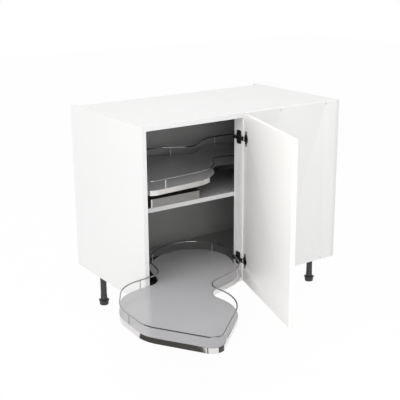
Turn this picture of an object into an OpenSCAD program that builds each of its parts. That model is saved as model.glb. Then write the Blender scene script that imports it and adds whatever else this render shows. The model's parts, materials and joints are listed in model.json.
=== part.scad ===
// Blind-corner kitchen base cabinet with two kidney-shaped swing-out trays.
// Seen from the front, the left half has a hinged door and the right half a
// fixed panel. All sizes in millimetres. X runs along the front to the right,
// Y into the cabinet, Z up. The origin is under the front left levelling foot.

/* [Carcass] */
// Width of the cabinet
cab_w = 1000; // [960:5:1100]
// Depth of the side panels
cab_d = 585; // [575:5:620]
// Height of the carcass without its legs
cab_h = 720; // [700:5:780]
// Thickness of the carcass boards
board_t = 18; // [16:0.5:19]
// Thickness of the back panel
back_t = 8; // [5:0.5:8]
// Depth of the open service void behind the back panel
void_d = 38.5; // [20:0.5:45]
// Width of the clear doorway
doorway_w = 454; // [450:1:480]
// Depth of the upright that carries the hinges
stile_d = 56; // [50:1:60]
// Height of the shelf's top face above the carcass's underside
shelf_top = 381; // [370:1:420]

/* [Legs] */
// Height from the floor to the carcass
leg_h = 150; // [130:1:180]
// Distance of a leg from the side of the cabinet
leg_side = 40; // [35:1:70]
// Distance of the front legs from the front edge
leg_front = 113; // [80:1:130]
// Distance of the back legs from the side panels' back edge
leg_back = 155; // [120:1:180]
// Diameter of a leg tube
leg_d = 27; // [24:1:34]
// Diameter of a levelling foot
foot_d = 39; // [36:1:50]

/* [Door] */
// Thickness of the door
door_t = 18; // [16:0.5:19]
// Gap between the door's back and the carcass
door_gap = 2; // [1.5:0.5:4]
// Reveal between the door and the cabinet's left side, top and underside
reveal = 2.5; // [2:0.5:4]
// How far the door laps over the stile and the blind panel
door_lap = 22; // [20:0.5:24]
// Angle at which the door stands open
door_open = 72.5; // [60:0.5:100]
// Distance of the lower hinge from the carcass's underside
hinge_from_underside = 98; // [95:1:130]
// Distance of the upper hinge from the carcass's top
hinge_from_top = 100; // [90:1:130]

/* [Trays] */
// Height of the lower tray's loading surface above the cabinet floor
lower_rise = 70; // [68:0.5:90]
// Height of the upper tray's loading surface above the shelf
upper_rise = 83; // [68:0.5:90]
// Thickness of a tray board
tray_t = 16; // [12:0.5:18]
// Height of the metal band round a tray
band_h = 21; // [19:0.5:26]
// Thickness of the band
band_t = 1.5; // [1:0.25:2]
// Height of the rail's centre above the loading surface
rail_rise = 37; // [30:1:50]
// Diameter of the rail wire
wire_d = 6; // [4:0.5:7]
// How far the rail wire's centre stands in from the band's face
rail_inset = 3; // [3:0.5:8]
// Turn of the pulled-out tray
tray_turn = 36.57; // [30:0.01:40]

/* [Swing arms] */
// Width of an arm
arm_w = 40; // [30:1:44]
// Thickness of an arm
arm_t = 6; // [5:0.25:6]
// Diameter of a pivot pin
pin_d = 16; // [12:0.5:18]
// Play all round a pivot pin
pin_play = 0.05; // [0.02:0.01:0.1]
// Height of the base unit that carries the arms
base_h = 34; // [30:0.5:34]

/* [Hidden] */
$fn = 48;
eps = 0.5;               // how far a cut runs past the face that it opens

// Colours
white = "white";
door_inside = [0.93, 0.92, 0.90];
black = [0.10, 0.10, 0.11];
tray_grey = [0.72, 0.72, 0.73];
chrome = [0.80, 0.80, 0.81];
steel = [0.55, 0.55, 0.56];
beech = [0.75, 0.60, 0.42];

// Carcass, with its underside at Z = 0 and its left front corner at X = Y = 0
inner_left = board_t;
inner_right = cab_w - board_t;
back_rear = cab_d - void_d;              // rear face of the back panel
back_front = back_rear - back_t;
groove = 8;                              // depth of the grooves that hold the back panel
groove_play = 0.25;
stile_left = inner_left + doorway_w;
stile_right = stile_left + board_t;
floor_top = board_t;
top_under = cab_h - board_t;
shelf_gap = 1;                           // play at the shelf's ends, back and front
shelf_front = stile_d + shelf_gap;
shelf_pin_d = 5;
shelf_pin_in = 9;
shelf_pin_out = 7;
shelf_pin_from_front = 40;
shelf_pin_from_back = 58;
shelf_rows = [shelf_front + shelf_pin_from_front, back_front - shelf_pin_from_back];

// Dowels that join the side panels to the top and the floor
dowel_d = 8;
dowel_in_side = 9;
dowel_in_edge = 21;
dowel_air = 1;                           // room at a dowel's ends
dowel_from_front = 60;
dowel_from_back = 90;
dowel_rows = [dowel_from_front, back_rear / 2, back_rear - dowel_from_back];

// Screw holes for the worktop, and screws of the blind panel
worktop_hole_d = 5;
worktop_from_side = 38;
worktop_from_front = 97;
worktop_from_back = 56.5;                // from the top panel's back edge
panel_screw_d = 4;
panel_screw_head = [8, 2.5];             // diameter and height of the countersunk head
panel_screw_len = 50;
panel_screw_in = 61;                     // from the blind panel's right edge to the nearest screw
panel_screw_apart = 250;
panel_screws_x = [inner_right - panel_screw_in - panel_screw_apart, inner_right - panel_screw_in];

// Row of holes in the hinge stile, above and below the shelf
stile_hole_d = 5;
stile_hole_deep = 11;
stile_hole_pitch = 28;
stile_hole_first = 37;                   // from the middle of the row to its nearest holes
stile_holes_above_shelf = 10;            // middle of the row above the shelf's top face
stile_holes_y = 35;

// Legs
leg_places = [[leg_side, leg_front], [cab_w - leg_side, leg_front],
    [leg_side, cab_d - leg_back], [cab_w - leg_side, cab_d - leg_back]];
plate_t = 2.5;
plate_rim = 8;                           // how far the plate stands out round the tube
collar_wall = 0.8;
collar_h = 22;
foot_body_h = 19;
foot_grip_t = 4;                         // grip ring, by which the foot is screwed up and down
foot_grip_out = 3.3;
foot_notches = 10;
foot_notch_d = 7;
foot_notch_deep = 1.8;
foot_round = 4;
foot_gap = 0.3;
tube_foot = foot_body_h + foot_grip_t + foot_gap;
stud_d = 10;
stud_up = 45;
stud_play = 0.2;

// Door, modelled closed and turned about its hinge line
door_left = reveal - 0.5;
door_right = stile_left + door_lap;
door_back = -door_gap;
hinge_line = [door_right - 7, -door_gap - door_t + 3];
hinge_low = hinge_from_underside;
hinge_high = cab_h - hinge_from_top;
cup_d = 35;
cup_deep = 11.5;
cup_wall = 2.5;
cup_edge = 22.5;                         // from the door's edge to the cup's centre
cup_floor = 1.5;
cup_flange = [16, 62, 1.5];              // width, height and thickness
cup_flange_round = 6;
hinge_wing = [28, 56, 2.5];              // width, height and thickness of the mounting plate's wings
hinge_wing_round = 7;
hinge_wing_y = 10;
hinge_spine = [6, 11];                   // how far the plate's spine stands out, and its height
hinge_spine_y = [8, 54];
hinge_arm_h = 13;
hinge_arm_side = 3;                      // how far the arm's channel stays off the stile
hinge_arm_out = 13;                      // how far the arm stands out from the stile
hinge_arm_back = 57;
hinge_nose = [7, 11, -14];               // from and to where the nose stands out, and its front end
hinge_play = 0.4;
lever_t = 1.5;
lever_w = 8;
lever_pin_d = 3;
lever_in_cup = [-3, -5];                 // lever's pin, from the cup's centre on the door's back
lever_end = [13, 11];

// Tray outline, seen from above with the tray pushed in: each row is a corner
// of the outline and the radius that rounds it. Two corners point inwards.
tray_corners = [[17.4, 6, 45], [367, 31, 205], [457, 197, 62], [678, 118, 165], [919, 266, 150],
    [919, 528, 176], [648, 528, 175], [507, 411, 66], [340, 507, 150], [157, 437, 200], [37, 289, 150]];
// The tray and its arms are drawn from the inner front left corner of a carcass of this
// inside width, inside depth and doorway, and follow the tightest of the three.
drawn_for = [964, 538.5, 454];
tray_fit = min((inner_right - inner_left) / drawn_for[0], back_front / drawn_for[1], doorway_w / drawn_for[2]);
tray_in = [-12, 4] * tray_fit;           // where the pushed-in outline stands
tray_centre = [446, 447] * tray_fit;     // centre about which the pulled-out tray is turned
tray_out = [-19, -4] * tray_fit;
arc_step = 5;                            // degrees between the points of a round stretch
// Rail posts: the corner that each follows, and its share of the way round that
// corner, or, past 1, its share of the straight stretch after it
post_places = [[0, 1.2], [3, 0.35], [4, 0.85], [6, 0.03], [7, 1.75], [9, 1.28]];
post_d = 5;
post_foot = [6, 3];                      // diameter and height of a post's foot

// Base unit and swing arms, with the tray pushed in
base_left = 49 * tray_fit;
base_right = 288 * tray_fit;
base_behind_shelf_edge = 1;
base_front_y = shelf_front + base_behind_shelf_edge;
base_behind_pivot = 50;
base_wall = 3;
base_round = 10;
base_boss_wall = 12;
base_socket_floor = 4;                   // board that stays under the base pin
front_t = 2;
front_ends = [7, 8];                     // unit that shows left and right of the front strip
trim_w = 6;
base_pivot = [109.4, 294.2] * tray_fit;
elbow_in = [299.5, 485.6] * tray_fit;
tray_pivot_in = [492.4, 271.9] * tray_fit;
arm_gap = 1;                             // between the base unit, the arms and the tray
clip_t = 0.6;
clip_rim = 2;
pivot_plate_d = 90;

// ---- outline of a tray ----
function unit(a) = [cos(a), sin(a)];
function angle_of(v) = atan2(v[1], v[0]);
function wrapped(a) = a > 180 ? a - 360 : a < -180 ? a + 360 : a;
function cross2(a, b) = a[0] * b[1] - a[1] * b[0];
function flat(lists) = [for (l = lists) for (x = l) x];
function corner_point(i) = [tray_corners[i][0], tray_corners[i][1]] * tray_fit;
// one rounded corner: centre, radius, first angle, sweep
function corner_arc(i) =
    let (n = len(tray_corners),
         p = corner_point(i), r = tray_corners[i][2] * tray_fit,
         a = corner_point((i + n - 1) % n), b = corner_point((i + 1) % n),
         u = (a - p) / norm(a - p),
         w = (b - p) / norm(b - p),
         half = acos(u * w) / 2,
         c = p + (u + w) / norm(u + w) * r / sin(half),
         t0 = p + u * r / tan(half), t1 = p + w * r / tan(half))
    [c, r, angle_of(t0 - c), wrapped(angle_of(t1 - c) - angle_of(t0 - c))];
corner_arcs = [for (i = [0 : len(tray_corners) - 1]) corner_arc(i)];
// radius of a corner when the outline is drawn in by an inset
function inset_r(arc, inset) = arc[1] - sign(arc[3]) * inset;
function arc_point(arc, inset, f) = arc[0] + inset_r(arc, inset) * unit(arc[2] + f * arc[3]);
function arc_points(arc, inset) =
    let (n = max(3, ceil(abs(arc[3]) / arc_step)))
    [for (k = [0 : n]) arc_point(arc, inset, k / n)];
function tray_outline(inset) = flat([for (arc = corner_arcs) arc_points(arc, inset)]);
// a place on the rail's line: round corner i up to f = 1, and on along the straight stretch to f = 2
function rail_place(i, f) =
    let (end = arc_point(corner_arcs[i], rail_inset, 1),
         next = arc_point(corner_arcs[(i + 1) % len(corner_arcs)], rail_inset, 0))
    f <= 1 ? arc_point(corner_arcs[i], rail_inset, f) : end + (f - 1) * (next - end);

// ---- where the tray and its arms stand, pushed in and pulled out ----
function turned(p, a) = [cos(a) * p[0] - sin(a) * p[1], sin(a) * p[0] + cos(a) * p[1]];
// a point of the pushed-in tray, where the pulled-out tray has it
function pulled_out(p) = turned(p - tray_in - tray_centre, tray_turn) + tray_out;
function elbow_between(o, b, l1, l2) =
    let (d = norm(b - o), e = (b - o) / d, a = (l1 * l1 - l2 * l2 + d * d) / (2 * d))
    o + a * e + sqrt(l1 * l1 - a * a) * [-e[1], e[0]];
swing_len = norm(elbow_in - base_pivot);
link_len = norm(tray_pivot_in - elbow_in);
tray_pivot_out = pulled_out(tray_pivot_in);
elbow_out = elbow_between(base_pivot, tray_pivot_out, swing_len, link_len);

module on_floor() translate([-leg_places[0][0], -leg_places[0][1], leg_h]) children();
module board(x0, x1, y0, y1, z0, z1) translate([x0, y0, z0]) cube([x1 - x0, y1 - y0, z1 - z0]);
// from the inner front left corner of the carcass
module in_cabinet() on_floor() translate([inner_left, 0, 0]) children();
module at_tray(out) in_cabinet()
    if (out) translate([tray_out[0], tray_out[1], 0]) rotate([0, 0, tray_turn])
        translate([-tray_centre[0], -tray_centre[1], 0]) children();
    else translate([tray_in[0], tray_in[1], 0]) children();
module at_door() translate([hinge_line[0], hinge_line[1], 0]) rotate([0, 0, door_open])
    translate([-hinge_line[0], -hinge_line[1], 0]) children();

// ---- carcass ----
module back_groove() board(inner_left - groove - groove_play, inner_right + groove + groove_play,
    back_front - groove_play, back_rear + groove_play,
    floor_top - groove - groove_play, top_under + groove + groove_play);

module shelf_pin_holes(x) for (y = shelf_rows) translate([x, y, shelf_top - board_t - shelf_pin_d / 2])
    rotate([0, 90, 0]) cylinder(d = shelf_pin_d, h = 2 * shelf_pin_in, center = true);

// the dowels between both side panels, the top and the floor, or, with air, their holes
module dowels(air) for (side = [0, 1], y = dowel_rows, z = [board_t / 2, cab_h - board_t / 2])
    translate([side * cab_w, y, z]) mirror([side, 0, 0])
        translate([board_t - dowel_in_side - air, 0, 0]) rotate([0, 90, 0])
            cylinder(d = dowel_d, h = dowel_in_side + dowel_in_edge + 2 * air);
module carcass_dowels() color(beech) on_floor() dowels(0);

module left_side() color(white) on_floor() difference() {
    board(0, inner_left, 0, cab_d, 0, cab_h);
    back_groove();
    shelf_pin_holes(inner_left);
    dowels(dowel_air);
}

module right_side() color(white) on_floor() difference() {
    board(inner_right, cab_w, 0, cab_d, 0, cab_h);
    back_groove();
    shelf_pin_holes(inner_right);
    dowels(dowel_air);
}

module worktop_hole(x, y) translate([x, y, top_under - eps])
    cylinder(d = worktop_hole_d, h = board_t + 2 * eps);
module worktop_holes() {
    for (x = [worktop_from_side, cab_w - worktop_from_side],
         y = [worktop_from_front, back_rear - worktop_from_back]) worktop_hole(x, y);
    worktop_hole(cab_w / 2, back_rear / 2);
}

// a countersunk screw that holds the blind panel to the edge behind it
module panel_screw() rotate([-90, 0, 0]) rotate_extrude() polygon([[0, 0], [panel_screw_head[0] / 2, 0],
    [panel_screw_d / 2, panel_screw_head[1]], [panel_screw_d / 2, panel_screw_len - panel_screw_d],
    [0, panel_screw_len]]);
module panel_screw_set() for (x = panel_screws_x, z = [board_t / 2, cab_h - board_t / 2])
    translate([x, 0, z]) panel_screw();
module panel_screws() color(black) on_floor() panel_screw_set();

// the step in the top and the floor that takes the blind panel
module panel_step() board(stile_right, inner_right + eps, -eps, board_t, -eps, cab_h + eps);

module top_panel() color(white) on_floor() difference() {
    board(inner_left, inner_right, 0, back_rear, top_under, cab_h);
    panel_step();
    back_groove();
    worktop_holes();
    dowels(dowel_air);
    panel_screw_set();
}

module floor_panel() color(white) on_floor() difference() {
    board(inner_left, inner_right, 0, back_rear, 0, floor_top);
    panel_step();
    back_groove();
    dowels(dowel_air);
    panel_screw_set();
}

module back_panel() color(white) on_floor()
    board(inner_left - groove, inner_right + groove, back_front, back_rear,
        floor_top - groove, top_under + groove);

module stile_holes() for (way = [-1, 1], k = [0 : 2])
    translate([stile_left - eps, stile_holes_y,
        shelf_top + stile_holes_above_shelf + way * (stile_hole_first + k * stile_hole_pitch)])
        rotate([0, 90, 0]) cylinder(d = stile_hole_d, h = stile_hole_deep + eps, $fn = 24);

module hinge_stile() color(white) on_floor() difference() {
    board(stile_left, stile_right, 0, stile_d, floor_top, top_under);
    stile_holes();
}

module blind_panel() color(white) on_floor() difference() {
    board(stile_right, inner_right, 0, board_t, 0, cab_h);
    panel_screw_set();
}

module shelf() color(white) on_floor()
    board(inner_left + shelf_gap, inner_right - shelf_gap, shelf_front, back_front - shelf_gap,
        shelf_top - board_t, shelf_top);

module shelf_pins() color(steel) on_floor() for (side = [0, 1], y = shelf_rows)
    translate([side * cab_w, y, shelf_top - board_t - shelf_pin_d / 2]) mirror([side, 0, 0])
        translate([board_t - shelf_pin_in, 0, 0]) rotate([0, 90, 0])
            cylinder(d = shelf_pin_d, h = shelf_pin_in + shelf_pin_out);

// ---- legs ----
module leg_plates() color(black) on_floor() for (p = leg_places)
    translate([p[0], p[1], -plate_t]) cylinder(d = leg_d + 2 * plate_rim, h = plate_t);

module leg_tubes() color(black) on_floor() for (p = leg_places) translate([p[0], p[1], -leg_h + tube_foot])
    difference() {
        union() {
            cylinder(d = leg_d, h = leg_h - tube_foot - plate_t);
            cylinder(d = leg_d + 2 * collar_wall, h = collar_h);
        }
        translate([0, 0, -eps]) cylinder(d = stud_d + 2 * stud_play, h = stud_up + 2);
    }

function rounding(x, z, r, a0, a1) = [for (a = [a0 : (a1 - a0) / 4 : a1]) [x + r * cos(a), z + r * sin(a)]];
module levelling_foot(k) color(black) on_floor() translate([leg_places[k][0], leg_places[k][1], -leg_h]) {
    rotate_extrude() polygon(flat([[[0, 0]],
        rounding(foot_d / 2 - foot_round, foot_round, foot_round, -90, 0),
        rounding(foot_d / 2 - foot_round, foot_body_h - foot_round, foot_round, 0, 90),
        [[stud_d / 2, foot_body_h], [stud_d / 2, tube_foot + stud_up], [0, tube_foot + stud_up]]]));
    translate([0, 0, foot_body_h]) linear_extrude(foot_grip_t) difference() {
        circle(d = foot_d + 2 * foot_grip_out);
        for (k = [1 : foot_notches]) rotate(k * 360 / foot_notches)
            translate([foot_d / 2 + foot_grip_out - foot_notch_deep + foot_notch_d / 2, 0])
                circle(d = foot_notch_d);
    }
}
module foot_front_left() levelling_foot(0);
module foot_front_right() levelling_foot(1);
module foot_back_left() levelling_foot(2);
module foot_back_right() levelling_foot(3);

// ---- door and hinges ----
cup_centre = [door_right - cup_edge, door_back];
module door() color(door_inside) on_floor() at_door() difference() {
    board(door_left, door_right, door_back - door_t, door_back, reveal, cab_h - reveal);
    for (z = [hinge_low, hinge_high]) translate([cup_centre[0], cup_centre[1] + eps, z])
        rotate([90, 0, 0]) cylinder(d = cup_d, h = cup_deep + eps + 0.5);
}

module rounded_plate(x0, x1, y0, y1, r) union() {
    translate([x0 + r, y0]) square([x1 - x0 - 2 * r, y1 - y0]);
    translate([x0, y0 + r]) square([x1 - x0, y1 - y0 - 2 * r]);
    for (x = [x0 + r, x1 - r], y = [y0 + r, y1 - r]) translate([x, y]) circle(r);
}

// mounting plate on the stile: two wings and the spine that the arm clips over
module hinge_mounting_plate(z) color(black) on_floor() translate([stile_left, 0, z]) {
    translate([-hinge_wing[2], 0, 0]) rotate([90, 0, 90]) linear_extrude(hinge_wing[2])
        rounded_plate(hinge_wing_y, hinge_wing_y + hinge_wing[0], -hinge_wing[1] / 2, hinge_wing[1] / 2,
            hinge_wing_round);
    board(-hinge_spine[0], 0, hinge_spine_y[0], hinge_spine_y[1], -hinge_spine[1] / 2, hinge_spine[1] / 2);
}
module hinge_plate_lower() hinge_mounting_plate(hinge_low);
module hinge_plate_upper() hinge_mounting_plate(hinge_high);

// arm: a channel over the spine, with a sloping back end and a nose towards the cup
module hinge_arm(z) color(black) on_floor() translate([stile_left, 0, z]) mirror([1, 0, 0]) difference() {
    translate([0, 0, -hinge_arm_h / 2]) linear_extrude(hinge_arm_h) polygon([
        [hinge_arm_side, hinge_spine_y[0]], [hinge_arm_side, hinge_arm_back - 5],
        [hinge_spine[0], hinge_arm_back], [hinge_arm_out - 2, hinge_arm_back - 3],
        [hinge_arm_out, hinge_arm_back - 12], [hinge_arm_out, 2],
        [hinge_nose[1], -6], [hinge_nose[1], hinge_nose[2] + 2], [hinge_nose[1] - 1, hinge_nose[2]],
        [hinge_nose[0], hinge_nose[2]], [hinge_spine[0], -4], [hinge_spine[0], 4]]);
    board(-eps, hinge_spine[0], hinge_spine_y[0] - eps, hinge_spine_y[1],
        -hinge_spine[1] / 2, hinge_spine[1] / 2);
}
module hinge_arm_lower() hinge_arm(hinge_low);
module hinge_arm_upper() hinge_arm(hinge_high);

module lever_pin(z) translate([cup_centre[0] + lever_in_cup[0], cup_centre[1] + lever_in_cup[1], z])
    cylinder(d = lever_pin_d, h = cup_d - cup_wall, center = true);

module hinge_cup(z) color(black) on_floor() at_door() difference() {
    translate([cup_centre[0], cup_centre[1], z]) rotate([90, 0, 0]) difference() {
        union() {
            cylinder(d = cup_d, h = cup_deep);
            translate([0, 0, -cup_flange[2]]) linear_extrude(cup_flange[2]) union() {
                rounded_plate(-cup_flange[0] / 2, cup_flange[0] / 2, -cup_flange[1] / 2, cup_flange[1] / 2,
                    cup_flange_round);
                circle(d = cup_d + 2);
            }
        }
        translate([0, 0, -cup_flange[2] - eps])
            cylinder(d = cup_d - 2 * cup_wall, h = cup_deep + cup_flange[2] - cup_floor + eps);
    }
    lever_pin(z);
}
module hinge_cup_lower() hinge_cup(hinge_low);
module hinge_cup_upper() hinge_cup(hinge_high);

// the two lever plates that reach from the cup past both sides of the arm's nose, on their pin
module hinge_lever(z) color(steel) on_floor() at_door() {
    run = lever_end - lever_in_cup;
    for (way = [0, 1]) translate([cup_centre[0] + lever_in_cup[0], cup_centre[1] + lever_in_cup[1], z])
        mirror([0, 0, way]) translate([0, 0, hinge_arm_h / 2 + hinge_play]) rotate([0, 0, angle_of(run)])
            linear_extrude(lever_t) union() {
                translate([0, -lever_w / 2]) square([norm(run), lever_w]);
                for (x = [0, norm(run)]) translate([x, 0]) circle(d = lever_w);
            }
    lever_pin(z);
}
module hinge_lever_lower() hinge_lever(hinge_low);
module hinge_lever_upper() hinge_lever(hinge_high);

// ---- base units, arms and trays: level is [top of the board below, rise of the loading surface] ----
lower_level = [floor_top, lower_rise];
upper_level = [shelf_top, upper_rise];
function arm_z(level) = level[0] + base_h + arm_gap;
function link_z(level) = arm_z(level) + arm_t + arm_gap;
function pivot_plate_z(level) = link_z(level) + arm_t + arm_gap;
function loading_z(level) = level[0] + level[1];
function board_z(level) = loading_z(level) - tray_t;

module base_unit(level) color(black) in_cabinet() {
    back = base_pivot[1] + base_behind_pivot;
    front = base_front_y + front_t;
    difference() {
        union() {
            difference() {
                translate([0, 0, level[0]]) linear_extrude(base_h)
                    rounded_plate(base_left, base_right, front, back, base_round);
                translate([0, 0, level[0] - eps]) linear_extrude(base_h - base_wall + eps)
                    rounded_plate(base_left + base_wall, base_right - base_wall, front + base_wall,
                        back - base_wall, base_round - base_wall);
            }
            translate([base_pivot[0], base_pivot[1], level[0]])
                cylinder(d = pin_d + 2 * base_boss_wall, h = base_h);
        }
        translate([base_pivot[0], base_pivot[1], level[0] + base_socket_floor]) cylinder(d = pin_d, h = base_h);
    }
}
module base_unit_upper() base_unit(upper_level);
module base_unit_lower() base_unit(lower_level);

module base_front(level) color(steel) in_cabinet()
    board(base_left + front_ends[0], base_right - front_ends[1], base_front_y, base_front_y + front_t,
        level[0], level[0] + base_h);
module base_front_upper() base_front(upper_level);
module base_front_lower() base_front(lower_level);

module base_trim(level) color(chrome) in_cabinet() board(base_left + front_ends[0] - trim_w,
    base_left + front_ends[0], base_front_y, base_front_y + front_t, level[0], level[0] + base_h);
module base_trim_upper() base_trim(upper_level);
module base_trim_lower() base_trim(lower_level);

// a pin with a clip ring on top
module clipped_pin(at, z0, z1) translate([at[0], at[1], z0]) {
    cylinder(d = pin_d, h = z1 - z0);
    translate([0, 0, z1 - z0]) cylinder(d = pin_d + 2 * clip_rim, h = clip_t);
}
module base_pin(level) color(steel) in_cabinet()
    clipped_pin(base_pivot, level[0] + base_socket_floor, arm_z(level) + arm_t);
module base_pin_upper() base_pin(upper_level);
module base_pin_lower() base_pin(lower_level);

// a flat bar with round ends and a bore at each
module arm_bar(a, b, z, bore_a, bore_b) translate([a[0], a[1], z]) rotate([0, 0, angle_of(b - a)])
    difference() {
        union() {
            translate([0, -arm_w / 2, 0]) cube([norm(b - a), arm_w, arm_t]);
            for (x = [0, norm(b - a)]) translate([x, 0, 0]) cylinder(d = arm_w, h = arm_t);
        }
        translate([0, 0, -eps]) cylinder(d = bore_a, h = arm_t + 2 * eps);
        translate([norm(b - a), 0, -eps]) cylinder(d = bore_b, h = arm_t + 2 * eps);
    }

module swing_arm(level, elbow) color(black) in_cabinet()
    arm_bar(base_pivot, elbow, arm_z(level), pin_d + 2 * pin_play, pin_d);
module swing_arm_upper() swing_arm(upper_level, elbow_in);
module swing_arm_lower() swing_arm(lower_level, elbow_out);

module elbow_pin(level, elbow) color(steel) in_cabinet()
    clipped_pin(elbow, arm_z(level), link_z(level) + arm_t);
module elbow_pin_upper() elbow_pin(upper_level, elbow_in);
module elbow_pin_lower() elbow_pin(lower_level, elbow_out);

module link_arm(level, elbow, pivot) color(black) in_cabinet()
    arm_bar(elbow, pivot, link_z(level), pin_d + 2 * pin_play, pin_d + 2 * pin_play);
module link_arm_upper() link_arm(upper_level, elbow_in, tray_pivot_in);
module link_arm_lower() link_arm(lower_level, elbow_out, tray_pivot_out);

module tray_pivot(level, pivot) color(steel) in_cabinet() translate([pivot[0], pivot[1], 0]) {
    translate([0, 0, link_z(level)]) cylinder(d = pin_d, h = arm_t + arm_gap);
    translate([0, 0, pivot_plate_z(level)])
        cylinder(d = pivot_plate_d, h = board_z(level) - pivot_plate_z(level));
}
module tray_pivot_upper() tray_pivot(upper_level, tray_pivot_in);
module tray_pivot_lower() tray_pivot(lower_level, tray_pivot_out);

module tray_board(level, out) color(tray_grey) at_tray(out)
    translate([0, 0, board_z(level)]) linear_extrude(tray_t) polygon(tray_outline(band_t));
module tray_board_upper() tray_board(upper_level, false);
module tray_board_lower() tray_board(lower_level, true);

module tray_band(level, out) color(chrome) at_tray(out)
    translate([0, 0, loading_z(level) - band_h]) linear_extrude(band_h) difference() {
        polygon(tray_outline(0));
        polygon(tray_outline(band_t));
    }
module tray_band_upper() tray_band(upper_level, false);
module tray_band_lower() tray_band(lower_level, true);

// the rail is a swept wire: rings of points along the outline, joined up in a loop
wire_sides = 8;
wire_path = tray_outline(rail_inset);
function wire_ring(k) =
    let (n = len(wire_path), a = wire_path[(k + n - 1) % n], p = wire_path[k], b = wire_path[(k + 1) % n],
         t = (b - a) / norm(b - a), side = [t[1], -t[0]])
    [for (s = [0 : wire_sides - 1]) let (c = wire_d / 2 * unit(s * 360 / wire_sides))
        [p[0] + side[0] * c[0], p[1] + side[1] * c[0], c[1]]];
module rail_wire() {
    n = len(wire_path);
    polyhedron(points = flat([for (k = [0 : n - 1]) wire_ring(k)]),
        faces = flat([for (k = [0 : n - 1]) flat([for (s = [0 : wire_sides - 1])
            let (k2 = (k + 1) % n, s2 = (s + 1) % wire_sides)
            [[k * wire_sides + s, k * wire_sides + s2, k2 * wire_sides + s2],
             [k * wire_sides + s, k2 * wire_sides + s2, k2 * wire_sides + s]]])]));
}

module tray_rail(level, out) color(chrome) at_tray(out)
    translate([0, 0, loading_z(level) + rail_rise]) rail_wire();
module tray_rail_upper() tray_rail(upper_level, false);
module tray_rail_lower() tray_rail(lower_level, true);

module rail_posts(level, out) color(chrome) at_tray(out)
    for (place = post_places)
        let (p = rail_place(place[0], place[1]))
            translate([p[0], p[1], loading_z(level)]) {
                cylinder(d = post_d, h = rail_rise - wire_d / 2);
                cylinder(d = post_foot[0], h = post_foot[1]);
            }
module rail_posts_upper() rail_posts(upper_level, false);
module rail_posts_lower() rail_posts(lower_level, true);

left_side();
right_side();
top_panel();
floor_panel();
back_panel();
hinge_stile();
blind_panel();
panel_screws();
shelf();
shelf_pins();
carcass_dowels();
leg_plates();
leg_tubes();
foot_front_left();
foot_front_right();
foot_back_left();
foot_back_right();
door();
hinge_plate_lower();
hinge_plate_upper();
hinge_arm_lower();
hinge_arm_upper();
hinge_cup_lower();
hinge_cup_upper();
hinge_lever_lower();
hinge_lever_upper();
base_unit_upper();
base_front_upper();
base_trim_upper();
base_pin_upper();
swing_arm_upper();
elbow_pin_upper();
link_arm_upper();
tray_pivot_upper();
tray_board_upper();
tray_band_upper();
tray_rail_upper();
rail_posts_upper();
base_unit_lower();
base_front_lower();
base_trim_lower();
base_pin_lower();
swing_arm_lower();
elbow_pin_lower();
link_arm_lower();
tray_pivot_lower();
tray_board_lower();
tray_band_lower();
tray_rail_lower();
rail_posts_lower();
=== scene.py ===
# %% [markdown]
# # A corner cabinet with swing-out trays
# The cabinet's boards, hinges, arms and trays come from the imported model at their
# real sizes. This script gives them their finish: melamine faces with eased edges,
# satin tray boards, polished bands and black mouldings, in plain soft light. It adds
# only what is too small for the model, which is the screw heads of the hinges.

# %% Load the fixed frame
import json
import math

import bmesh
import bpy
from mathutils import Matrix, Vector


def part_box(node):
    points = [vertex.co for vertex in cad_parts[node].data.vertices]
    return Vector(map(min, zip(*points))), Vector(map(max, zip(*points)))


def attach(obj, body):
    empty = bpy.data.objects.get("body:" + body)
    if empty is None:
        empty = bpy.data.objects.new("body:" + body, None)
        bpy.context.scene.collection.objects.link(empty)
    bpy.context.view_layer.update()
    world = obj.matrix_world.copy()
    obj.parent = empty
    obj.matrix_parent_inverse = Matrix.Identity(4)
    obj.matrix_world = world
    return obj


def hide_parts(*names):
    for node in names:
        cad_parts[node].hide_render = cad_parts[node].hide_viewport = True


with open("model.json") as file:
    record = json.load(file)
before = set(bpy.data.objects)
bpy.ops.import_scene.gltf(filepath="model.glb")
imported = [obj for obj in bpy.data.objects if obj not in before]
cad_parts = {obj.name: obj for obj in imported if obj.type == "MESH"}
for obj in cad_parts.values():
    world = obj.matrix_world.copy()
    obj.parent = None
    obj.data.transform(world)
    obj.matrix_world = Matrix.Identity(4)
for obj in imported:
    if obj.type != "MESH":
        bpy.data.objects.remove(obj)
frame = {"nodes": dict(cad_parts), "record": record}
NODES = frame["nodes"]
BODY_OF = {node: body for body, nodes in frame["record"]["behaviour"]["bodies"].items() for node in nodes}
SLOT_OF = {row["node"]: row["material_slot"] for row in frame["record"]["subparts"]}
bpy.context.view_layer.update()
MM = 0.001
print("cabinet parts:", len(NODES))

# %% [markdown]
# ## The cabinet's own measures
# Everything that is placed here takes its place from the parts that carry it, so the
# boxes of a few boards are read first. The carcass is the box that the side panels make.

# %% Read the carcass's box
LEFT_LOW, LEFT_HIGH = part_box("left_side")
RIGHT_LOW, RIGHT_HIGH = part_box("right_side")
FRONT_Y = LEFT_LOW.y
UNDERSIDE = LEFT_LOW.z
CARCASS_TOP = LEFT_HIGH.z
CARCASS_LEFT = LEFT_LOW.x
CARCASS_RIGHT = RIGHT_HIGH.x
BOARD = LEFT_HIGH.x - LEFT_LOW.x
print("carcass width", round(CARCASS_RIGHT - CARCASS_LEFT, 3), "height", round(CARCASS_TOP - UNDERSIDE, 3))

# %% [markdown]
# ## The camera
# The photograph was taken from the front left, a little above the worktop, with a long
# lens. Its place is given from the carcass's lower left front corner, and the lens from
# the picture's width in pixels: a 36 mm sensor is 400 pixels wide here. Three angles
# turn it: yaw about the upright, pitch down, and a very small roll.

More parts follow.
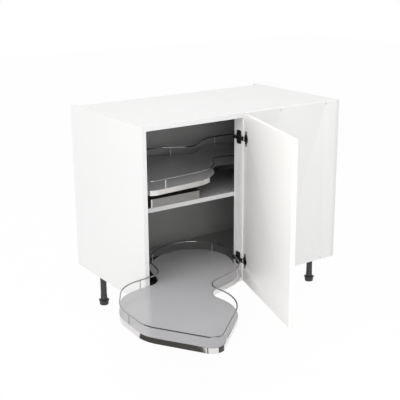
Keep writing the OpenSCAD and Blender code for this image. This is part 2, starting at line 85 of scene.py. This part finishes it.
# %% Place the camera
PICTURE_PX = 400
FOCAL_PX = 840
SENSOR = 36
CAMERA_FROM_CORNER = Vector((-1.561, -2.630, 1.350))
CAMERA_YAW = math.radians(34.7)
CAMERA_PITCH = math.radians(16.62)
CAMERA_ROLL = math.radians(-0.34)


def add_camera():
    forward = Vector((math.sin(CAMERA_YAW) * math.cos(CAMERA_PITCH),
                      math.cos(CAMERA_YAW) * math.cos(CAMERA_PITCH), -math.sin(CAMERA_PITCH)))
    level_right = Vector((math.cos(CAMERA_YAW), -math.sin(CAMERA_YAW), 0))
    level_up = level_right.cross(forward)
    right = math.cos(CAMERA_ROLL) * level_right + math.sin(CAMERA_ROLL) * level_up
    up = -math.sin(CAMERA_ROLL) * level_right + math.cos(CAMERA_ROLL) * level_up
    data = bpy.data.cameras.new("camera")
    data.sensor_width = SENSOR
    data.lens = SENSOR * FOCAL_PX / PICTURE_PX
    camera = bpy.data.objects.new("camera", data)
    turn = Matrix((right, up, -forward)).transposed().to_4x4()
    corner = Vector((CARCASS_LEFT, FRONT_Y, UNDERSIDE))
    camera.matrix_world = Matrix.Translation(corner + CAMERA_FROM_CORNER) @ turn
    bpy.context.scene.collection.objects.link(camera)
    bpy.context.scene.camera = camera
    return camera


camera = add_camera()
print("camera at", tuple(round(v, 3) for v in camera.location))

# %% [markdown]
# ## Small helpers
# Materials, the floor and the world are all trees of nodes. One helper adds a node with
# its settings, one adds a sum with numbers or sockets in it, one makes a mesh object
# from a bmesh, and one starts a material that has only its output. Shading is smooth
# below an angle, so that bevels look round.

# %% Helpers for node trees and meshes
def add_node(tree, kind, settings=None, **inputs):
    node = tree.nodes.new(kind)
    for label, value in (settings or {}).items():
        setattr(node, label, value)
    for label, value in inputs.items():
        node.inputs[label.replace("_", " ")].default_value = value
    return node


def maths(tree, operation, first, second):
    """A Math node. Each of the two values is a number, or a socket to link."""
    node = add_node(tree, "ShaderNodeMath", {"operation": operation})
    for socket, value in zip(node.inputs, (first, second)):
        if isinstance(value, bpy.types.NodeSocket):
            tree.links.new(value, socket)
        else:
            socket.default_value = value
    return node.outputs[0]


def link_mesh(name, bm, smooth_angle=None):
    mesh = bpy.data.meshes.new(name)
    bm.to_mesh(mesh)
    bm.free()
    if smooth_angle is not None:
        mesh.polygons.foreach_set("use_smooth", [True] * len(mesh.polygons))
        mesh.set_sharp_from_angle(angle=math.radians(smooth_angle))
    piece = bpy.data.objects.new(name, mesh)
    bpy.context.scene.collection.objects.link(piece)
    return piece


def clear_material(name):
    """A material with nothing in it but its output."""
    material = bpy.data.materials.new(name)
    material.use_nodes = True
    material.node_tree.nodes.clear()
    return material, material.node_tree, add_node(material.node_tree, "ShaderNodeOutputMaterial")


print("helpers ready")

# %% [markdown]
# ## The floor
# A product picture like this one has a white ground that fades into a white backdrop.
# A white floor alone would come out grey wherever the cabinet keeps the light off, so
# for the camera it is mostly plain white with a little matt paint in it, and the shadow
# stays faint. Light that bounces off the floor onto the boards comes from the paint
# alone. Polished metal sees what the camera sees.

# %% Lay the floor
FLOOR_HALF = 9
FLOOR_WHITE = 0.86
FLOOR_LIFT = 0.97


def seen_in_view(tree):
    """The Light Path node, and 1 for a ray from the camera or a shiny surface, else 0."""
    path = add_node(tree, "ShaderNodeLightPath")
    return path, maths(tree, "MAXIMUM", path.outputs["Is Camera Ray"], path.outputs["Is Glossy Ray"])


def floor_material():
    material, tree, out = clear_material("floor_white")
    paint = add_node(tree, "ShaderNodeBsdfDiffuse", Color=(FLOOR_WHITE, FLOOR_WHITE, FLOOR_WHITE, 1))
    plain = add_node(tree, "ShaderNodeEmission", Strength=1.0)
    mix = add_node(tree, "ShaderNodeMixShader")
    seen = seen_in_view(tree)[1]
    tree.links.new(maths(tree, "MULTIPLY", seen, FLOOR_LIFT), mix.inputs["Fac"])
    tree.links.new(paint.outputs[0], mix.inputs[1])
    tree.links.new(plain.outputs[0], mix.inputs[2])
    tree.links.new(mix.outputs[0], out.inputs["Surface"])
    return material


def add_floor():
    bm = bmesh.new()
    bmesh.ops.create_grid(bm, x_segments=1, y_segments=1, size=FLOOR_HALF)
    floor = link_mesh("floor", bm)
    floor.data.materials.append(floor_material())


add_floor()
print("floor", 2 * FLOOR_HALF, "m square")

# %% [markdown]
# ## The world and the lamps
# The world stands for a white room and gives the even part of the light. It is white to
# the camera and weaker as a light, so that the lamps still shape the cabinet. One large
# lamp at the left lights the side panel and the door's inner face. A weaker one reaches
# through the doorway to the back panel, and one overhead lights the top and the
# pulled-out tray. Large area lamps are used because their shadows are soft.

# %% Set the world and hang the lamps
WORLD_STRENGTH = 0.73
KEY_ENERGY = 79
KEY_SIZE = 3.2
KEY_FROM_CABINET = Vector((-4.2, -0.6, 3.0))
FILL_ENERGY = 16
FILL_SIZE = 1.4
FILL_FROM_DOORWAY = Vector((-1.25, -2.4, 0.2))
OVERHEAD_ENERGY = 20
OVERHEAD_SIZE = 2.4
OVERHEAD_FROM_CABINET = Vector((0.1, -0.2, 3.2))
DOORWAY_FROM_LEFT = 0.25


def set_world():
    world = bpy.data.worlds.new("studio")
    bpy.context.scene.world = world
    world.use_nodes = True
    tree = world.node_tree
    tree.nodes.clear()
    out = add_node(tree, "ShaderNodeOutputWorld")
    background = add_node(tree, "ShaderNodeBackground", Color=(1, 1, 1, 1))
    strength = add_node(tree, "ShaderNodeMapRange", To_Min=WORLD_STRENGTH, To_Max=1.0)
    path, seen = seen_in_view(tree)
    seen_through = maths(tree, "MAXIMUM", seen, path.outputs["Is Transmission Ray"])
    tree.links.new(seen_through, strength.inputs["Value"])
    tree.links.new(strength.outputs["Result"], background.inputs["Strength"])
    tree.links.new(background.outputs[0], out.inputs["Surface"])


def add_lamp(name, energy, size, place, target):
    data = bpy.data.lights.new(name, "AREA")
    data.energy = energy
    data.size = size
    lamp = bpy.data.objects.new(name, data)
    lamp.location = place
    lamp.rotation_euler = (target - place).to_track_quat("-Z", "Y").to_euler()
    bpy.context.scene.collection.objects.link(lamp)


set_world()
MIDDLE_Z = (UNDERSIDE + CARCASS_TOP) / 2
CABINET_MIDDLE = Vector(((CARCASS_LEFT + CARCASS_RIGHT) / 2, FRONT_Y, MIDDLE_Z))
DOORWAY_MIDDLE = Vector((CARCASS_LEFT + DOORWAY_FROM_LEFT, FRONT_Y, MIDDLE_Z))
add_lamp("key", KEY_ENERGY, KEY_SIZE, CABINET_MIDDLE + KEY_FROM_CABINET, CABINET_MIDDLE)
add_lamp("fill", FILL_ENERGY, FILL_SIZE, DOORWAY_MIDDLE + FILL_FROM_DOORWAY, DOORWAY_MIDDLE)
add_lamp("overhead", OVERHEAD_ENERGY, OVERHEAD_SIZE, CABINET_MIDDLE + OVERHEAD_FROM_CABINET, CABINET_MIDDLE)
bpy.context.scene.view_settings.view_transform = "Standard"
print("lamps:", len(bpy.data.lights))

# %% [markdown]
# ## Dark cards
# Polished metal shows only what stands around it, and in an all-white room it would
# look white. A photographer puts up dark cards out of the picture, so that the chrome
# gets dark stripes beside bright ones. The cards here are seen by glossy rays alone:
# they cast no shadow and don't darken the boards. Three lie on the floor round the
# pulled-out tray and are mirrored in its band, one hangs overhead and one stands at the
# left like a wall.

# %% Put up the dark cards
CARD_BLACK = 0.034
CARD_DARK = 0.085
CARD_MID = 0.13
CARD_WARMTH = (1.0, 0.95, 0.9)
CARD_LIFT = 3 * MM
UP = Vector((0, 0, 1))
RIGHT = Vector((1, 0, 0))
CARDS = {
    # width, height, place from the carcass's front left corner, way that it faces, grey
    "card_left": (0.62, 0.69, (-0.80, -0.315, 0), UP, CARD_DARK),
    "card_strip": (0.5, 0.06, (-0.65, -0.72, 0), UP, CARD_BLACK),
    "card_front": (0.5, 0.6, (0.36, -0.86, 0), UP, CARD_MID),
    "card_overhead": (7.0, 5.0, (-1.0, -0.8, 3.0), -UP, CARD_DARK),
    "card_wall": (5.0, 2.9, (-3.2, -1.0, 1.55), RIGHT, CARD_DARK),
}


def card_material(name, grey):
    material, tree, out = clear_material(name)
    plain = add_node(tree, "ShaderNodeEmission", Color=(*(grey * share for share in CARD_WARMTH), 1))
    tree.links.new(plain.outputs[0], out.inputs["Surface"])
    return material


def add_card(name, width, height, place, facing_way, grey):
    bm = bmesh.new()
    bmesh.ops.create_grid(bm, x_segments=1, y_segments=1, size=0.5)
    bmesh.ops.scale(bm, vec=(width, height, 1), verts=bm.verts)
    turn = facing_way.to_track_quat("Z", "Y").to_matrix().to_4x4()
    corner = Vector((CARCASS_LEFT, FRONT_Y, CARD_LIFT))
    bmesh.ops.transform(bm, matrix=Matrix.Translation(corner + Vector(place)) @ turn, verts=bm.verts)
    card = link_mesh(name, bm)
    card.data.materials.append(card_material(name, grey))
    card.visible_camera = False
    card.visible_diffuse = False
    card.visible_shadow = False
    card.visible_transmission = False


for name, card in CARDS.items():
    add_card(name, *card)
print("cards:", len(CARDS))

# %% [markdown]
# ## Shared effects
# A factory finish is never quite flat: melamine has a fine orange peel, a moulded part
# a fine grain, brushed metal long scratches, and polished metal faint wipe marks. Each
# effect could be built again in every material. It is a node group with named inputs
# instead, built once and placed in the materials with their own values.

# %% Start a node group
def new_group(name, inputs, outputs):
    group = bpy.data.node_groups.new(name, "ShaderNodeTree")
    for label, kind, value in inputs:
        socket = group.interface.new_socket(label, in_out="INPUT", socket_type=kind)
        socket.default_value = value
    for label, kind in outputs:
        group.interface.new_socket(label, in_out="OUTPUT", socket_type=kind)
    return group, group.nodes.new("NodeGroupInput"), group.nodes.new("NodeGroupOutput")


print("group helper ready")

# %% [markdown]
# Most of the finishes here are grained. A small noise gives the grain's height, and a
# large one gives broad clouds in which the shade and the gloss change a little. Two
# noises are used and not one, because the grain is far too fine to carry the shade.

# %% The fine grain of a factory finish
def build_grain_group():
    """Height: a fine grain. Tone: broad, faint changes of shade between 0 and 1."""
    group, start, end = new_group(
        "fine_grain",
        [("Vector", "NodeSocketVector", (0, 0, 0)), ("Grain Scale", "NodeSocketFloat", 900.0),
         ("Cloud Scale", "NodeSocketFloat", 3.0)],
        [("Height", "NodeSocketFloat"), ("Tone", "NodeSocketFloat")])
    grain = add_node(group, "ShaderNodeTexNoise", Detail=3.0, Roughness=0.6)
    cloud = add_node(group, "ShaderNodeTexNoise", Detail=2.0, Roughness=0.5)
    for noise, scale, output in ((grain, "Grain Scale", "Height"), (cloud, "Cloud Scale", "Tone")):
        group.links.new(start.outputs["Vector"], noise.inputs["Vector"])
        group.links.new(start.outputs[scale], noise.inputs["Scale"])
        group.links.new(noise.outputs["Fac"], end.inputs[output])
    return group


GRAIN = build_grain_group()
print("grain group:", len(GRAIN.nodes), "nodes")

# %% [markdown]
# Brushed metal has one direction. A Mapping node stretches a noise fifty times along X
# and Y and leaves it fine along Z, which gives long level streaks, and their height and
# shade follow the same pattern. The scratches could be a picture wrapped round the part,
# but noise needs no unwrapping.

# %% Streaks of brushed metal
STREAK_SQUASH = (0.02, 0.02, 1.0)


def build_brushed_group():
    group, start, end = new_group(
        "brushed_streaks",
        [("Vector", "NodeSocketVector", (0, 0, 0)), ("Streaks", "NodeSocketFloat", 900.0)],
        [("Height", "NodeSocketFloat"), ("Tone", "NodeSocketFloat")])
    squash = add_node(group, "ShaderNodeMapping", Scale=STREAK_SQUASH)
    streak = add_node(group, "ShaderNodeTexNoise", Detail=4.0, Roughness=0.7)
    group.links.new(start.outputs["Vector"], squash.inputs["Vector"])
    group.links.new(squash.outputs["Vector"], streak.inputs["Vector"])
    group.links.new(start.outputs["Streaks"], streak.inputs["Scale"])
    for output in ("Height", "Tone"):
        group.links.new(streak.outputs["Fac"], end.inputs[output])
    return group


BRUSHED = build_brushed_group()
print("brushed group:", len(BRUSHED.nodes), "nodes")

# %% [markdown]
# Some boards are white outside and grey inside, and the grey is painted shade that stands
# in for the shade within the carcass. They could be given two materials, face by face, but
# the change lies exactly on the board's edge, so a mask can be read from the point's own
# coordinates. Inside the carcass box it is 1, and on the outer faces and the front edging it is 0.

# %% A mask for the carcass's inside, where the shade is painted
FLOOR_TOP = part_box("floor_panel")[0].z + BOARD
BACK_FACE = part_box("back_panel")[0].y
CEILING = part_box("top_panel")[0].z
EDGING = 1.2 * MM
INSIDE_REACH = 0.6 * MM


def build_inside_group():
    """Front is the plane behind the front edging, and Reach takes in the faces themselves."""
    group, start, end = new_group(
        "carcass_inside",
        [("Vector", "NodeSocketVector", (0, 0, 0)), ("Reach", "NodeSocketFloat", INSIDE_REACH),
         ("Front", "NodeSocketFloat", FRONT_Y + EDGING)],
        [("Inside", "NodeSocketFloat")])
    point = add_node(group, "ShaderNodeSeparateXYZ")
    group.links.new(start.outputs["Vector"], point.inputs["Vector"])
    walls = {
        "X": (LEFT_HIGH.x, RIGHT_LOW.x),
        "Y": (start.outputs["Front"], BACK_FACE),
        "Z": (FLOOR_TOP, CEILING),
    }
    tests = []
    for axis, (low, high) in walls.items():
        for above, below in ((point.outputs[axis], low), (high, point.outputs[axis])):
            depth = maths(group, "SUBTRACT", above, below)
            within = maths(group, "ADD", depth, start.outputs["Reach"])
            tests.append(maths(group, "GREATER_THAN", within, 0.0))
    mask = tests[0]
    for test in tests[1:]:
        mask = maths(group, "MULTIPLY", mask, test)
    group.links.new(mask, end.inputs["Inside"])
    return group


INSIDE = build_inside_group()
print("inside mask from", round(LEFT_HIGH.x, 3), "to", round(RIGHT_LOW.x, 3))

# %% [markdown]
# ## The finishes
# Each material is a Principled shader. Its shade, roughness and bump follow one effect
# group, so that they change together as they do on a real surface. What is the same all
# over, such as how metallic the part is, is set on the shader itself.

# %% Helpers for materials
def start_material(name, metallic=0.0, specular=0.5):
    material = bpy.data.materials.new(name)
    material.use_nodes = True
    tree = material.node_tree
    shader = tree.nodes["Principled BSDF"]
    shader.inputs["Metallic"].default_value = metallic
    shader.inputs["Specular IOR Level"].default_value = specular
    return material, tree, shader, add_node(tree, "ShaderNodeTexCoord")


def place_group(tree, group, coordinates, **values):
    node = add_node(tree, "ShaderNodeGroup", {"node_tree": group}, **values)
    tree.links.new(coordinates.outputs["Object"], node.inputs["Vector"])
    return node


def mix_colours(tree, factor, first, second):
    mix = add_node(tree, "ShaderNodeMix", {"data_type": "RGBA"})
    tree.links.new(factor, mix.inputs["Factor"])
    for label, colour in (("A", first), ("B", second)):
        if isinstance(colour, bpy.types.NodeSocket):
            tree.links.new(colour, mix.inputs[label])
        else:
            mix.inputs[label].default_value = (*colour, 1)
    return mix.outputs["Result"]


def make_finish(name, group, pattern, shades, roughness, bump, inside=None, **surface):
    """A material whose shade, roughness and bump follow an effect group.

    shades and roughness are each a low and a high value, and bump is a strength and a
    depth. inside holds the two greys of the painted shade inside the carcass, and may be left out.
    """
    material, tree, shader, coordinates = start_material(name, **surface)
    effect = place_group(tree, group, coordinates, **pattern)
    colour = mix_colours(tree, effect.outputs["Tone"], *shades)
    # Where inside is given, the faces inside the carcass get the painted shade.
    if inside:
        painted_shades_inside, front = inside
        mask = place_group(tree, INSIDE, coordinates, Front=front)
        inner = mix_colours(tree, effect.outputs["Tone"], *painted_shades_inside)
        colour = mix_colours(tree, mask.outputs["Inside"], colour, inner)
    tree.links.new(colour, shader.inputs["Base Color"])
    spread = add_node(tree, "ShaderNodeMapRange", To_Min=roughness[0], To_Max=roughness[1])
    tree.links.new(effect.outputs["Tone"], spread.inputs["Value"])
    tree.links.new(spread.outputs["Result"], shader.inputs["Roughness"])
    relief = add_node(tree, "ShaderNodeBump", Strength=bump[0], Distance=bump[1])
    tree.links.new(effect.outputs["Height"], relief.inputs["Height"])
    tree.links.new(relief.outputs["Normal"], shader.inputs["Normal"])
    return material


print("finish helpers ready")

# %% [markdown]
# ## Melamine boards
# The boards are chipboard under printed paper and clear resin: a satin face with a very
# faint orange peel and hardly any change of shade. The outside is white. The grey inside
# the carcass is painted shade, standing in for the shade within the box. The door, the
# blind panel and the hinge stile get a lighter white than the carcass, which is painted
# light for the light that falls on the fronts, and the door is smoother. The shelf's
# front edge and the caps of the blind panel's screws are light grey; on the caps the grey
# is painted shade round the screw heads. The tray boards are the same stuff in grey with
# a shinier face, in which the rail's posts are dimly mirrored.

# %% The boards' finishes
PEEL = 0.2 * MM
MELAMINE_BUMP = (0.08, PEEL)
CARCASS_WHITE = ((0.83, 0.826, 0.822), (0.865, 0.861, 0.857))
# Painted light: the fronts and the door get lighter copies of the carcass's white, for the light that falls
# on them.
FRONT_WHITE_PAINTED_LIGHT = ((0.91, 0.906, 0.902), (0.94, 0.936, 0.932))
DOOR_WHITE_PAINTED_LIGHT = ((0.94, 0.925, 0.905), (0.96, 0.945, 0.925))
EDGING_GREY = ((0.63, 0.63, 0.627), (0.67, 0.67, 0.667))
# Painted shade: this grey inside the carcass stands in for the shade within the box.
INSIDE_PAINTED_SHADE = ((0.47, 0.47, 0.467), (0.51, 0.51, 0.507))
TRAY_GREY = ((0.465, 0.457, 0.47), (0.50, 0.492, 0.505))
CARCASS_INSIDE_SHADE = (INSIDE_PAINTED_SHADE, FRONT_Y + EDGING)
SHELF_INSIDE_SHADE = (INSIDE_PAINTED_SHADE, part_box("shelf")[0].y + EDGING)


def melamine(name, shades, roughness=(0.42, 0.5), grain=700.0, specular=0.35, inside=None):
    pattern = {"Grain_Scale": grain, "Cloud_Scale": 2.2}
    return make_finish(name, GRAIN, pattern, shades, roughness, MELAMINE_BUMP, inside, specular=specular)


white_board = melamine("white_board", CARCASS_WHITE, inside=CARCASS_INSIDE_SHADE)
shelf_board = melamine("shelf_board", EDGING_GREY, inside=SHELF_INSIDE_SHADE)
# The blind panel and the stile: a lighter white that is painted light.
front_white_painted_light = melamine("front_white_painted_light", FRONT_WHITE_PAINTED_LIGHT, inside=CARCASS_INSIDE_SHADE)
stile_white_painted_light = melamine("stile_white_painted_light", FRONT_WHITE_PAINTED_LIGHT)
# Painted shade: the caps' grey stands in for the shading round the screw heads.
screw_cap_painted_shade = melamine("screw_cap_painted_shade", EDGING_GREY)
# The back panel wears the inside's painted shade on both its faces.
inside_painted_shade = melamine("inside_painted_shade", INSIDE_PAINTED_SHADE)
# The door's lighter white is painted light.
door_white_painted_light = melamine("door_white_painted_light", DOOR_WHITE_PAINTED_LIGHT, roughness=(0.34, 0.42))
tray_face = melamine("tray_face", TRAY_GREY, roughness=(0.16, 0.22), grain=1400.0, specular=0.6)
print("board finishes:", len(bpy.data.materials))

# %% [markdown]
# ## Black mouldings, black steel, zinc and wood
# Legs and base units are moulded plastic with a fine matt grain. Hinges and arms are
# coated steel, which is smoother and shines more, and pins are bare zinc plate. The
# dowels are beech. All of them are one grain at different sizes and strengths, so one
# function makes them.

# %% The mouldings' finishes
def moulded(name, shades, roughness, grain, strength, metallic=0.0):
    pattern = {"Grain_Scale": grain, "Cloud_Scale": 14.0}
    return make_finish(name, GRAIN, pattern, shades, roughness, (strength, PEEL), metallic=metallic)


leg_plastic = moulded("leg_plastic", ((0.030, 0.030, 0.031), (0.048, 0.047, 0.047)), (0.42, 0.55),
                      1600.0, 0.35)
unit_plastic = moulded("unit_plastic", ((0.014, 0.014, 0.015), (0.026, 0.026, 0.027)), (0.45, 0.6),
                       1800.0, 0.3)
hinge_steel = moulded("hinge_steel", ((0.020, 0.020, 0.022), (0.040, 0.040, 0.042)), (0.25, 0.38), 900.0, 0.1,
                      metallic=0.6)
arm_steel = moulded("arm_steel", ((0.015, 0.015, 0.016), (0.026, 0.026, 0.028)), (0.35, 0.5), 1500.0, 0.3)
zinc = moulded("zinc", ((0.42, 0.42, 0.44), (0.56, 0.56, 0.57)), (0.25, 0.4), 700.0, 0.12, metallic=1.0)
beech = moulded("beech", ((0.56, 0.38, 0.22), (0.72, 0.53, 0.34)), (0.5, 0.65), 420.0, 0.25)
print("with mouldings:", len(bpy.data.materials))

# %% [markdown]
# ## Brushed front and polished trim
# The base unit's front is a brushed foil, partly metallic. The tray's band is chrome,
# and so is the unit's end trim. The rail above the band is drawn wire, a darker grey.
# Chrome and wire are fully metallic, with broad wipe marks in place of a fine grain.

# %% The metals' finishes
WIPE_BUMP = (0.02, 0.3 * MM)
SCRATCH_BUMP = (0.15, 0.1 * MM)
BRUSHED_GREY = ((0.25, 0.245, 0.235), (0.34, 0.335, 0.325))


def polished(name, shades, roughness):
    pattern = {"Grain_Scale": 60.0, "Cloud_Scale": 22.0}
    return make_finish(name, GRAIN, pattern, shades, roughness, WIPE_BUMP, metallic=1.0)


brushed_front = make_finish("brushed_front", BRUSHED, {"Streaks": 1500.0}, BRUSHED_GREY, (0.35, 0.5),
                            SCRATCH_BUMP, metallic=0.55)
chrome = polished("chrome", ((0.70, 0.69, 0.68), (0.80, 0.79, 0.78)), (0.05, 0.12))
drawn_wire = polished("drawn_wire", ((0.36, 0.355, 0.35), (0.46, 0.455, 0.45)), (0.10, 0.18))
print("with metals:", len(bpy.data.materials))

# %% [markdown]
# ## Which part wears which finish
# A carried-over part keeps its mesh and gets the finish of its material slot. A few
# parts have a finish of their own within their slot, and are named one by one.

# %% Dress the parts
FINISH = {
    "white_board": white_board,
    # the door's lighter white is painted light
    "door_board": door_white_painted_light,
    "leg_black": leg_plastic,
    "hinge_black": hinge_steel,
    "base_black": unit_plastic,
    "brushed_front": brushed_front,
    "chrome_trim": chrome,
    "zinc_steel": zinc,
    "arm_black": arm_steel,
    "tray_grey": tray_face,
    "beech": beech,
}
OWN_FINISH = {
    # painted shade of the inside, on both faces of the back panel
    "back_panel": inside_painted_shade,
    # painted light on the stile and the blind panel
    "hinge_stile": stile_white_painted_light,
    "shelf": shelf_board,
    "blind_panel": front_white_painted_light,
    "panel_screws": screw_cap_painted_shade,
    "tray_rail_upper": drawn_wire,
    "tray_rail_lower": drawn_wire,
}


def dress(piece, material):
    piece.data.materials.clear()
    piece.data.materials.append(material)


for node, piece in NODES.items():
    dress(piece, OWN_FINISH.get(node, FINISH[SLOT_OF[node]]))
print("dressed:", len(NODES), "parts,", len(OWN_FINISH), "of them on their own")

# %% [markdown]
# ## Eased edges
# The edge of a laminated board is never razor sharp: the edging is rounded by about
# half a millimetre and catches a thin line of light. A Bevel node could fake that in
# the shading, but the mesh itself should have it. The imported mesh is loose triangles, so
# a copy of it is merged, its flat faces are joined up again and its sharp edges are
# bevelled. The copy then stands for the board.

# %% Bevel a merged copy of a part
LEVELS = ("upper", "lower")
MERGE = 0.01 * MM
FLAT_ANGLE = math.radians(1)
SHARP_ANGLE = math.radians(35)
EASED_SHADING = 25


def merged_copy(node):
    bm = bmesh.new()
    bm.from_mesh(NODES[node].data)
    bmesh.ops.remove_doubles(bm, verts=bm.verts, dist=MERGE)
    return bm


def stand_for(piece, node):
    dress(piece, NODES[node].data.materials[0])
    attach(piece, BODY_OF[node])
    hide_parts(node)


def eased(node, width, segments=2):
    bm = merged_copy(node)
    bmesh.ops.dissolve_limit(bm, angle_limit=FLAT_ANGLE, verts=bm.verts, edges=bm.edges)
    sharp = [edge for edge in bm.edges if edge.is_manifold and edge.calc_face_angle(0) > SHARP_ANGLE]
    bmesh.ops.bevel(bm, geom=sharp, offset=width, offset_type="OFFSET", segments=segments, profile=0.5,
                    affect="EDGES", clamp_overlap=True, material=-1)
    stand_for(link_mesh("eased_" + node, bm, EASED_SHADING), node)


BOARDS = ["left_side", "right_side", "top_panel", "floor_panel", "hinge_stile", "blind_panel", "shelf"]
BOARD_EDGE = 0.6 * MM
DOOR_EDGE = 1.0 * MM
for board in BOARDS:
    eased(board, BOARD_EDGE)
eased("door", DOOR_EDGE, segments=3)
print("eased boards:", len(BOARDS) + 1)

# %% [markdown]
# Stamped and moulded fittings are eased too. A pressed steel plate has a burnished edge
# of less than half a millimetre, an arm of flat bar a little more, and a plastic housing
# has the largest radius, because it has to leave its mould.

# %% Ease the fittings
FITTING_EDGE = {
    # width of the eased edge, and its segments
    "hinge_plate": (0.4 * MM, 2),
    "hinge_arm": (0.6 * MM, 2),
    "base_unit": (1.5 * MM, 3),
    "base_front": (0.3 * MM, 2),
    "base_trim": (0.4 * MM, 2),
    "swing_arm": (0.8 * MM, 2),
    "link_arm": (0.8 * MM, 2),
}
for level in LEVELS:
    for fitting, (width, segments) in FITTING_EDGE.items():
        eased(fitting + "_" + level, width, segments)
print("eased fittings:", len(FITTING_EDGE) * len(LEVELS))

# %% [markdown]
# ## The trays and their rails
# The rail is a bent wire, so its section has to look round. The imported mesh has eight
# sides. It could be swept again along its path, but the path would have to be measured.
# With its triangles joined into quads, a subdivision surface rounds it where it is. The
# tray's board and band are eased as the other parts are.

# %% Round the rail wires and ease the trays
TRAY_EDGE = 0.5 * MM
BAND_EDGE = 0.3 * MM
WIRE_ROUNDS = 1
WIRE_SHADING = 60
QUAD_FLATNESS = math.radians(40)
QUAD_SQUARENESS = math.radians(60)


def rounded_wire(node):
    bm = merged_copy(node)
    bmesh.ops.join_triangles(bm, faces=bm.faces, angle_face_threshold=QUAD_FLATNESS,
                             angle_shape_threshold=QUAD_SQUARENESS)
    piece = link_mesh("round_" + node, bm, WIRE_SHADING)
    modifier = piece.modifiers.new("round", "SUBSURF")
    modifier.levels = WIRE_ROUNDS
    modifier.render_levels = WIRE_ROUNDS
    stand_for(piece, node)


for level in LEVELS:
    rounded_wire("tray_rail_" + level)
    eased("tray_board_" + level, TRAY_EDGE)
    eased("tray_band_" + level, BAND_EDGE, segments=1)
print("trays dressed:", len(LEVELS))

# %% [markdown]
# ## The hinges' screws
# Two screws hold each mounting plate to the stile, 32 mm apart, and two hold each cup
# to the door. The cross could be cut with a boolean, but a few operators do it. A screw
# head starts as a flat cone. Its top face is inset, the ring of points inside is drawn
# in to a star with four tips, and the star is sunk: that is the cross that a
# screwdriver fits.

# %% Screw heads with a cross recess
SCREW_SIDES = 16
STAR_TIPS = 4
SCREW_RISE = 1.4 * MM
SCREW_SUNK = 0.2 * MM
SCREW_TAPER = 0.8
RIM_SHARE = 0.12
RECESS = 1.0 * MM
STAR_WAIST = 0.38
SCREW_SHADING = 30


def screw_head(name, place, outward, diameter, body, slot):
    bm = bmesh.new()
    bmesh.ops.create_cone(bm, cap_ends=True, cap_tris=False, segments=SCREW_SIDES, radius1=diameter / 2,
                          radius2=SCREW_TAPER * diameter / 2, depth=SCREW_RISE)
    top = max(bm.faces, key=lambda face: face.calc_center_median().z)
    bmesh.ops.inset_region(bm, faces=[top], thickness=RIM_SHARE * diameter)
    ring = sorted(top.verts, key=lambda vertex: math.atan2(vertex.co.y, vertex.co.x))
    for number, vertex in enumerate(ring):
        if number % (SCREW_SIDES // STAR_TIPS):
            vertex.co.x *= STAR_WAIST
            vertex.co.y *= STAR_WAIST
    sunk = bmesh.ops.extrude_face_region(bm, geom=[top])["geom"]
    bmesh.ops.delete(bm, geom=[top], context="FACES_ONLY")
    floor_points = [item for item in sunk if isinstance(item, bmesh.types.BMVert)]
    bmesh.ops.translate(bm, vec=(0, 0, -RECESS), verts=floor_points)
    bmesh.ops.recalc_face_normals(bm, faces=bm.faces)
    turn = outward.to_track_quat("Z", "Y").to_matrix().to_4x4()
    middle = place + outward * (SCREW_RISE / 2 - SCREW_SUNK)
    bmesh.ops.transform(bm, matrix=Matrix.Translation(middle) @ turn, verts=bm.verts)
    piece = link_mesh(name, bm, SCREW_SHADING)
    dress(piece, FINISH[slot])
    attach(piece, body)


print("screw head:", SCREW_SIDES, "sides")

# %% [markdown]
# The plate's wings lie on the stile's left face. The cup's flange lies on the door's
# inner face, which looks along the direction that the open door has turned it to. The
# cup is deeper than its flange is thick, so its box's middle lies a little inside the
# door, and the flange's outer face is found from there. The plate's screws are black
# like the plate, and the cup's are zinc.

# %% Put the screws in
DOOR_OPEN = math.radians(72.5)
WING_FACE = 2.5 * MM
WING_MIDDLE = 24 * MM
PLATE_SCREWS = 16 * MM
PLATE_SCREW_HEAD = 8 * MM
CUP_SCREWS = 24 * MM
CUP_SCREW_HEAD = 7 * MM
CUP_DEPTH = 11.5 * MM
FLANGE_THICK = 1.5 * MM


def middle_of(node):
    low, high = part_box(node)
    return (low + high) / 2


door_inward = Vector((-math.sin(DOOR_OPEN), math.cos(DOOR_OPEN), 0))
flange_face = (CUP_DEPTH - FLANGE_THICK) / 2 + FLANGE_THICK
stile_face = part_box("hinge_stile")[0].x
for level in reversed(LEVELS):
    plate = middle_of("hinge_plate_" + level)
    cup = middle_of("hinge_cup_" + level) + door_inward * flange_face
    for way, mark in ((-1, "_low"), (1, "_high")):
        on_plate = Vector((stile_face - WING_FACE, FRONT_Y + WING_MIDDLE, plate.z + way * PLATE_SCREWS))
        on_cup = Vector((cup.x, cup.y, cup.z + way * CUP_SCREWS))
        screw_head("plate_screw_" + level + mark, on_plate, -RIGHT, PLATE_SCREW_HEAD,
                   "carcass", "hinge_black")
        screw_head("cup_screw_" + level + mark, on_cup, door_inward, CUP_SCREW_HEAD,
                   "door", "zinc_steel")
print("cup middle", tuple(round(value, 4) for value in middle_of("hinge_cup_lower")))
